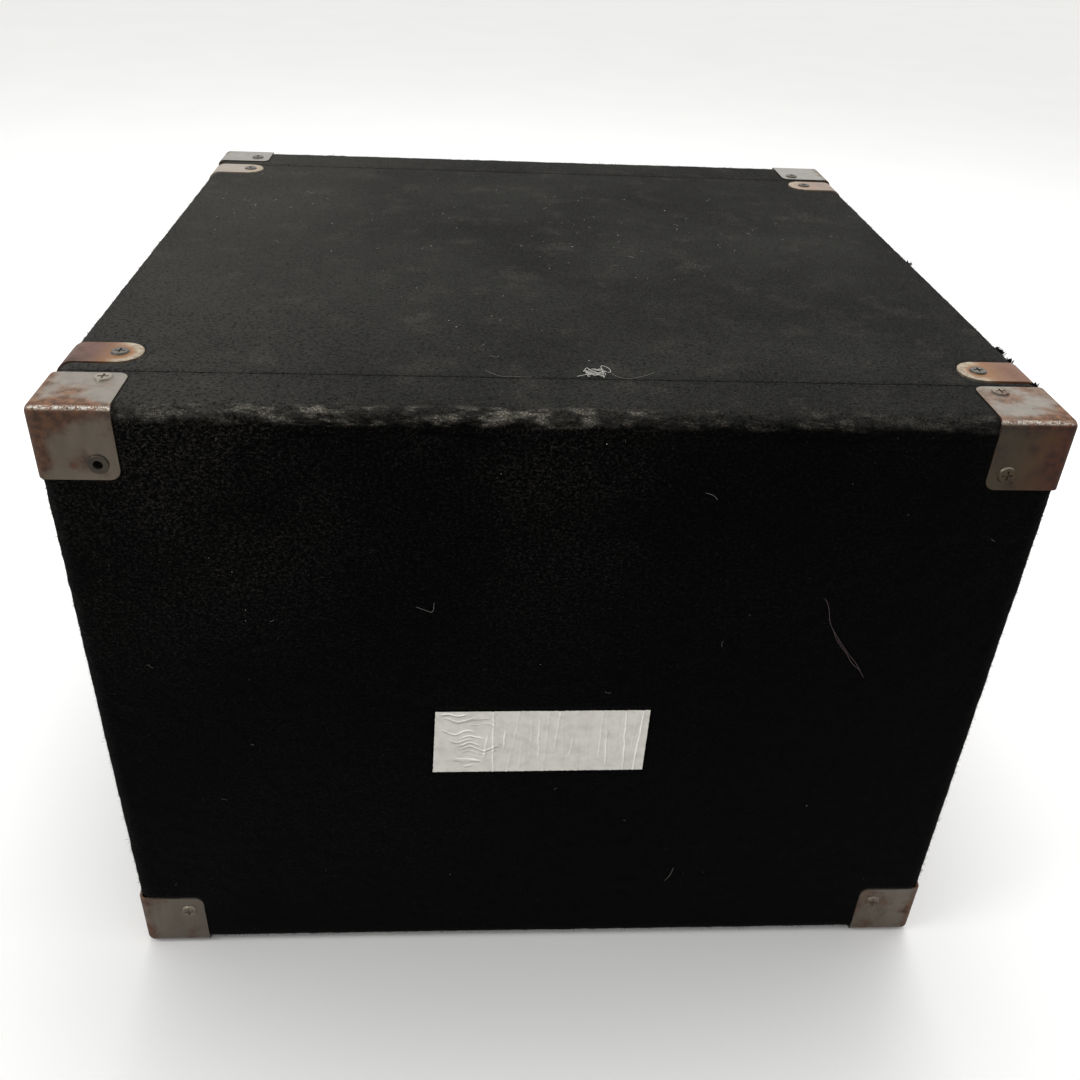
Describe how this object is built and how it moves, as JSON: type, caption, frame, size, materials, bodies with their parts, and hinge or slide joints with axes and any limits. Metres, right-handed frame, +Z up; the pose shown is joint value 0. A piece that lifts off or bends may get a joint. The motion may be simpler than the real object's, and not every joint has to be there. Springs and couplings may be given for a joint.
{
  "type": "carpet-covered rack case",
  "caption": "Carpet-covered plywood case for 19-inch rack equipment, with lift-off front and rear covers, recessed latches and handles, and steel corners.",
  "frame": {"origin": "middle of the footprint, on the ground", "axes": "+X to the right seen from the front, across the width; +Y from the front cover to the rear cover; +Z up"},
  "size_m": [0.5356, 0.5198, 0.4077],
  "materials": {
    "plywood": "raw birch plywood",
    "carpet": "short black needle-pile carpet, linty and worn pale along the front top edge",
    "corner_steel": "dull zinc plate, scuffed, with brown rust at the edges",
    "strap_steel": "rusted brown steel, bare and pale round the screws",
    "fastener_steel": "tarnished zinc plate",
    "latch_steel": "dull zinc plate",
    "rail_steel": "satin black enamel",
    "foam": "open-cell charcoal foam",
    "grip_rubber": "matt black ribbed rubber",
    "cloth_tape": "off-white cloth tape, wrinkled and soiled"
  },
  "bodies": {
    "case": {"top_panel": "plywood", "bottom_panel": "plywood", "left_side_panel": "plywood", "right_side_panel": "plywood", "body_carpet": "carpet", "corner_straps": "strap_steel", "strap_screws": "fastener_steel", "rack_rail_screws": "fastener_steel", "handle_rivets": "fastener_steel", "latch_rivets": "fastener_steel", "left_handle_dish": "latch_steel", "right_handle_dish": "latch_steel", "front_left_rack_rail": "rail_steel", "front_right_rack_rail": "rail_steel", "rear_left_rack_rail": "rail_steel", "rear_right_rack_rail": "rail_steel", "front_left_latch_dish": "latch_steel", "front_right_latch_dish": "latch_steel", "rear_left_latch_dish": "latch_steel", "rear_right_latch_dish": "latch_steel"},
    "front_cover": {"front_cover_panel": "plywood", "front_cover_carpet": "carpet", "front_cover_foam": "foam", "front_cover_top_rail": "plywood", "front_cover_bottom_rail": "plywood", "front_cover_left_rail": "plywood", "front_cover_right_rail": "plywood", "front_corner_plates": "corner_steel", "front_plate_screws": "fastener_steel", "front_cover_keepers": "latch_steel", "front_keeper_rivets": "fastener_steel", "front_open_rivet": "fastener_steel", "front_tape_label": "cloth_tape"},
    "rear_cover": {"rear_cover_panel": "plywood", "rear_cover_carpet": "carpet", "rear_cover_foam": "foam", "rear_cover_top_rail": "plywood", "rear_cover_bottom_rail": "plywood", "rear_cover_left_rail": "plywood", "rear_cover_right_rail": "plywood", "rear_corner_plates": "corner_steel", "rear_plate_screws": "fastener_steel", "rear_cover_keepers": "latch_steel", "rear_keeper_rivets": "fastener_steel"},
    "left_handle": {"left_handle_bail": "latch_steel", "left_handle_grip": "grip_rubber"},
    "right_handle": {"right_handle_bail": "latch_steel", "right_handle_grip": "grip_rubber"},
    "front_left_cam": {"front_left_latch_cam": "latch_steel"},
    "front_left_wing": {"front_left_latch_wing": "latch_steel"},
    "front_left_hook": {"front_left_latch_hook": "latch_steel"},
    "front_right_cam": {"front_right_latch_cam": "latch_steel"},
    "front_right_wing": {"front_right_latch_wing": "latch_steel"},
    "front_right_hook": {"front_right_latch_hook": "latch_steel"},
    "rear_left_cam": {"rear_left_latch_cam": "latch_steel"},
    "rear_left_wing": {"rear_left_latch_wing": "latch_steel"},
    "rear_left_hook": {"rear_left_latch_hook": "latch_steel"},
    "rear_right_cam": {"rear_right_latch_cam": "latch_steel"},
    "rear_right_wing": {"rear_right_latch_wing": "latch_steel"},
    "rear_right_hook": {"rear_right_latch_hook": "latch_steel"}
  },
  "joints": [
    {"name": "front_cover_slide", "type": "slide", "parent": "case", "child": "front_cover", "axis": [0, -1, 0], "range_m": [0, 0.12]},
    {"name": "rear_cover_slide", "type": "slide", "parent": "case", "child": "rear_cover", "axis": [0, 1, 0], "range_m": [0, 0.12]},
    {"name": "left_handle_swing", "type": "hinge", "parent": "case", "child": "left_handle", "pos_m": [-0.2577, 0, 0.22885], "axis": [0, 1, 0], "range_deg": [0, 90]},
    {"name": "right_handle_swing", "type": "hinge", "parent": "case", "child": "right_handle", "pos_m": [0.2577, 0, 0.22885], "axis": [0, -1, 0], "range_deg": [0, 90]},
    {"name": "front_left_cam_turn", "type": "hinge", "parent": "case", "child": "front_left_cam", "pos_m": [-0.2592, -0.18155, 0.20385], "axis": [-1, 0, 0], "range_deg": [0, 180]},
    {"name": "front_left_wing_lift", "type": "hinge", "parent": "front_left_cam", "child": "front_left_wing", "pos_m": [-0.2632, -0.18155, 0.20385], "axis": [0, 0, 1], "range_deg": [0, 90]},
    {"name": "front_left_hook_lower", "type": "hinge", "parent": "case", "child": "front_left_hook", "pos_m": [-0.26, -0.18155, 0.20385], "axis": [0, 0, 1], "range_deg": [0, 6]},
    {"name": "front_right_cam_turn", "type": "hinge", "parent": "case", "child": "front_right_cam", "pos_m": [0.2592, -0.18155, 0.20385], "axis": [1, 0, 0], "range_deg": [0, 180]},
    {"name": "front_right_wing_lift", "type": "hinge", "parent": "front_right_cam", "child": "front_right_wing", "pos_m": [0.2632, -0.18155, 0.20385], "axis": [0, 0, -1], "range_deg": [0, 90]},
    {"name": "front_right_hook_lower", "type": "hinge", "parent": "case", "child": "front_right_hook", "pos_m": [0.26, -0.18155, 0.20385], "axis": [0, 0, -1], "range_deg": [0, 6]},
    {"name": "rear_left_cam_turn", "type": "hinge", "parent": "case", "child": "rear_left_cam", "pos_m": [-0.2592, 0.17705, 0.20385], "axis": [-1, 0, 0], "range_deg": [0, 180]},
    {"name": "rear_left_wing_lift", "type": "hinge", "parent": "rear_left_cam", "child": "rear_left_wing", "pos_m": [-0.2632, 0.17705, 0.20385], "axis": [0, 0, -1], "range_deg": [0, 90]},
    {"name": "rear_left_hook_lower", "type": "hinge", "parent": "case", "child": "rear_left_hook", "pos_m": [-0.26, 0.17705, 0.20385], "axis": [0, 0, -1], "range_deg": [0, 6]},
    {"name": "rear_right_cam_turn", "type": "hinge", "parent": "case", "child": "rear_right_cam", "pos_m": [0.2592, 0.17705, 0.20385], "axis": [1, 0, 0], "range_deg": [0, 180]},
    {"name": "rear_right_wing_lift", "type": "hinge", "parent": "rear_right_cam", "child": "rear_right_wing", "pos_m": [0.2632, 0.17705, 0.20385], "axis": [0, 0, 1], "range_deg": [0, 90]},
    {"name": "rear_right_hook_lower", "type": "hinge", "parent": "case", "child": "rear_right_hook", "pos_m": [0.26, 0.17705, 0.20385], "axis": [0, 0, 1], "range_deg": [0, 6]}
  ],
  "couplings": [
    {"joint": "front_left_hook_lower", "follows": "front_left_cam_turn", "ratio": 0.033333},
    {"joint": "front_right_hook_lower", "follows": "front_right_cam_turn", "ratio": 0.033333},
    {"joint": "rear_left_hook_lower", "follows": "rear_left_cam_turn", "ratio": 0.033333},
    {"joint": "rear_right_hook_lower", "follows": "rear_right_cam_turn", "ratio": 0.033333}
  ]
}
